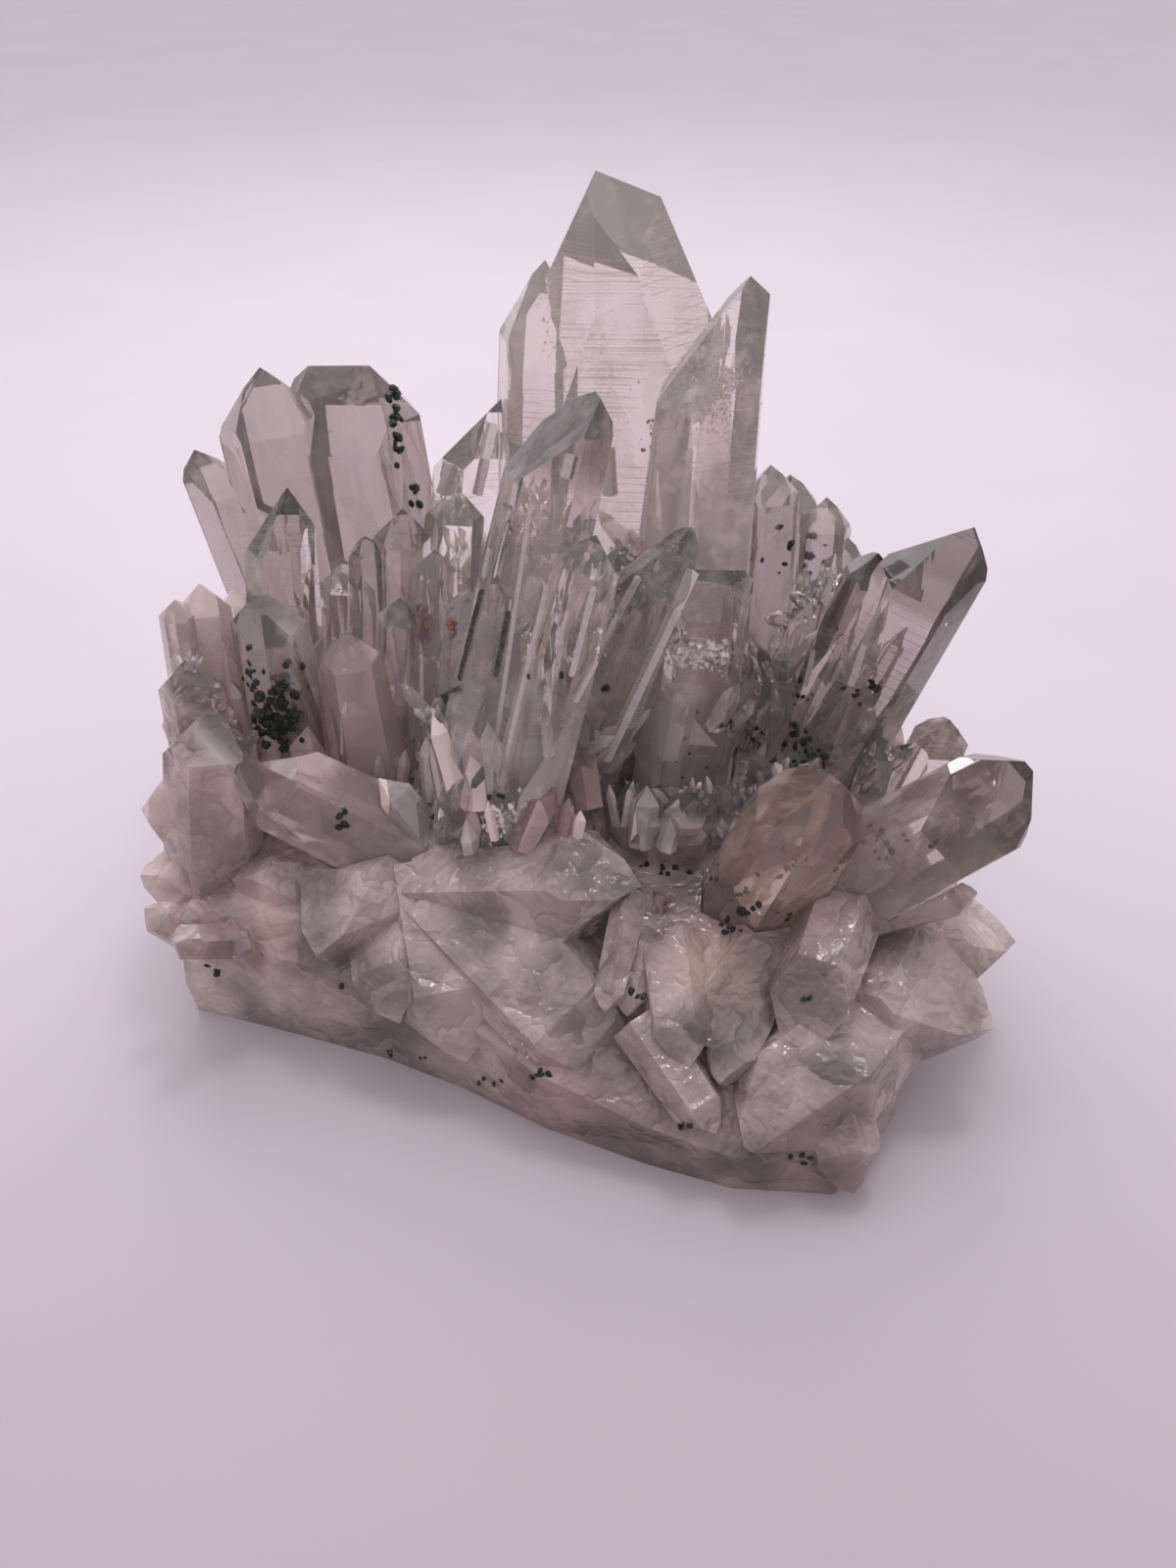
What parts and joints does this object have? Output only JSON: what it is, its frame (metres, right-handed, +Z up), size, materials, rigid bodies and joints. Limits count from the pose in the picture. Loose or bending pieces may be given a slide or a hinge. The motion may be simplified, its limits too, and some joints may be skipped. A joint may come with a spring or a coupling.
{
  "type": "quartz crystal cluster",
  "caption": "Clear and smoky six-sided quartz points of many sizes, standing and leaning out of a milky root mass that rests on its flat broken foot.",
  "frame": {"origin": "centre of the bounding box in plan, at the height of the foot", "axes": "+Z up, -Y towards the side seen in the picture, +X to the right in the picture"},
  "size_m": [0.1324, 0.1228, 0.113],
  "materials": {
    "clear_quartz": "clear, glassy, with growth lines on the sides",
    "tan_quartz": "clear with a tan tint",
    "milky_quartz": "cloudy, pale pink grey, half see-through"
  },
  "bodies": {
    "root": {"tallest_points": "clear_quartz", "right_tall_point": "clear_quartz", "capped_points": "clear_quartz", "centre_long_point": "clear_quartz", "slanted_point": "clear_quartz", "broad_point": "clear_quartz", "right_leaning_points": "clear_quartz", "right_low_point": "clear_quartz", "tan_point": "tan_quartz", "small_right_point": "clear_quartz", "back_left_points": "clear_quartz", "back_right_points": "clear_quartz", "window_points": "clear_quartz", "left_upright_point": "clear_quartz", "speckled_point": "clear_quartz", "peach_point": "clear_quartz", "lying_point": "clear_quartz", "left_rim_points": "clear_quartz", "root_mass": "milky_quartz"}
  },
  "joints": []
}
